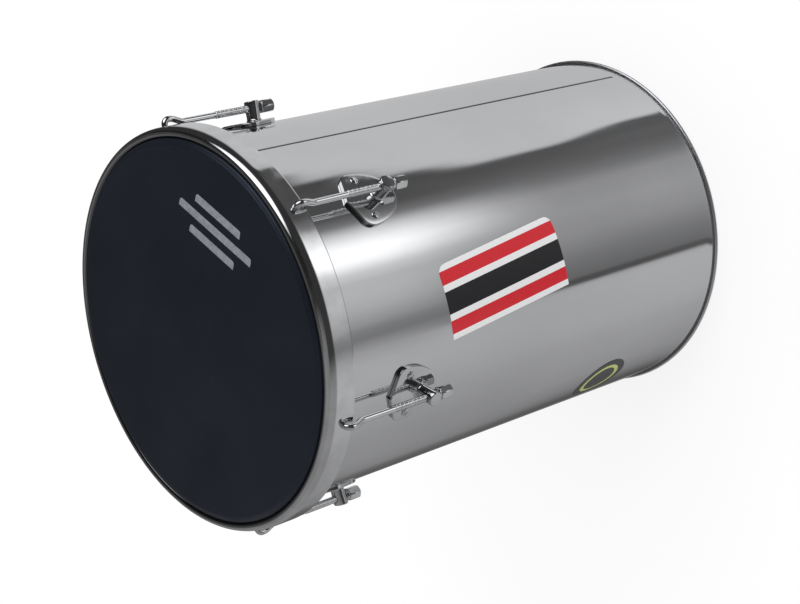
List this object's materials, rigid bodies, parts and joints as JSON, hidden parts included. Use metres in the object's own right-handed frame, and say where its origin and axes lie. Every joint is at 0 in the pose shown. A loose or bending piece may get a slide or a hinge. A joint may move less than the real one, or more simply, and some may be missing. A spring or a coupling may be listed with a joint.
{
  "type": "rebolo drum",
  "caption": "Single-headed samba drum: long polished metal shell, dark flat head, plain rolled-edge counterhoop, hook rods tensioned by long nuts on shield-shaped lug brackets.",
  "frame": {"origin": "centre of the rear rim's lowest ring, on the surface the drum stands on", "axes": "+Z along the drum's axis, from the open rear rim to the head; +X is 29 degrees before the first tension station"},
  "size_m": [0.3244, 0.3394, 0.4605],
  "materials": {
    "shell_metal": "mirror polished",
    "chrome": "bright chrome plate",
    "zinc": "zinc plated",
    "skin": "matt black coated",
    "channel": "plain"
  },
  "bodies": {
    "root": {"shell": "shell_metal", "lug_bracket_1": "chrome", "lug_screw_1a": "chrome", "lug_screw_1b": "chrome", "screw_nut_1a": "zinc", "screw_nut_1b": "zinc", "lug_bracket_2": "chrome", "lug_screw_2a": "chrome", "lug_screw_2b": "chrome", "screw_nut_2a": "zinc", "screw_nut_2b": "zinc", "lug_bracket_3": "chrome", "lug_screw_3a": "chrome", "lug_screw_3b": "chrome", "screw_nut_3a": "zinc", "screw_nut_3b": "zinc", "lug_bracket_4": "chrome", "lug_screw_4a": "chrome", "lug_screw_4b": "chrome", "screw_nut_4a": "zinc", "screw_nut_4b": "zinc", "lug_bracket_5": "chrome", "lug_screw_5a": "chrome", "lug_screw_5b": "chrome", "screw_nut_5a": "zinc", "screw_nut_5b": "zinc", "lug_bracket_6": "chrome", "lug_screw_6a": "chrome", "lug_screw_6b": "chrome", "screw_nut_6a": "zinc", "screw_nut_6b": "zinc"},
    "hoop": {"counterhoop": "chrome", "head_skin": "skin", "flesh_hoop": "channel", "hook_rod_1": "chrome", "hook_rod_2": "chrome", "hook_rod_3": "chrome", "hook_rod_4": "chrome", "hook_rod_5": "chrome", "hook_rod_6": "chrome"},
    "nut_1": {"tension_nut_1": "chrome"},
    "nut_2": {"tension_nut_2": "chrome"},
    "nut_3": {"tension_nut_3": "chrome"},
    "nut_4": {"tension_nut_4": "chrome"},
    "nut_5": {"tension_nut_5": "chrome"},
    "nut_6": {"tension_nut_6": "chrome"}
  },
  "joints": [
    {"name": "hoop_travel", "type": "slide", "parent": "root", "child": "hoop", "axis": [0, 0, 1], "range_m": [0, 0.008]},
    {"name": "nut_turn_1", "type": "hinge", "parent": "root", "child": "nut_1", "pos_m": [0.14307, 0.07931, 0.345], "axis": [0, 0, 1], "range_deg": [-2880, 0]},
    {"name": "nut_turn_2", "type": "hinge", "parent": "root", "child": "nut_2", "pos_m": [0.00285, 0.16356, 0.345], "axis": [0, 0, 1], "range_deg": [-2880, 0]},
    {"name": "nut_turn_3", "type": "hinge", "parent": "root", "child": "nut_3", "pos_m": [-0.14022, 0.08425, 0.345], "axis": [0, 0, 1], "range_deg": [-2880, 0]},
    {"name": "nut_turn_4", "type": "hinge", "parent": "root", "child": "nut_4", "pos_m": [-0.14307, -0.07931, 0.345], "axis": [0, 0, 1], "range_deg": [-2880, 0]},
    {"name": "nut_turn_5", "type": "hinge", "parent": "root", "child": "nut_5", "pos_m": [-0.00285, -0.16356, 0.345], "axis": [0, 0, 1], "range_deg": [-2880, 0]},
    {"name": "nut_turn_6", "type": "hinge", "parent": "root", "child": "nut_6", "pos_m": [0.14022, -0.08425, 0.345], "axis": [0, 0, 1], "range_deg": [-2880, 0]}
  ],
  "couplings": [
    {"joint": "nut_turn_1", "follows": "hoop_travel", "rad_per_m": -6283.2},
    {"joint": "nut_turn_2", "follows": "hoop_travel", "rad_per_m": -6283.2},
    {"joint": "nut_turn_3", "follows": "hoop_travel", "rad_per_m": -6283.2},
    {"joint": "nut_turn_4", "follows": "hoop_travel", "rad_per_m": -6283.2},
    {"joint": "nut_turn_5", "follows": "hoop_travel", "rad_per_m": -6283.2},
    {"joint": "nut_turn_6", "follows": "hoop_travel", "rad_per_m": -6283.2}
  ]
}
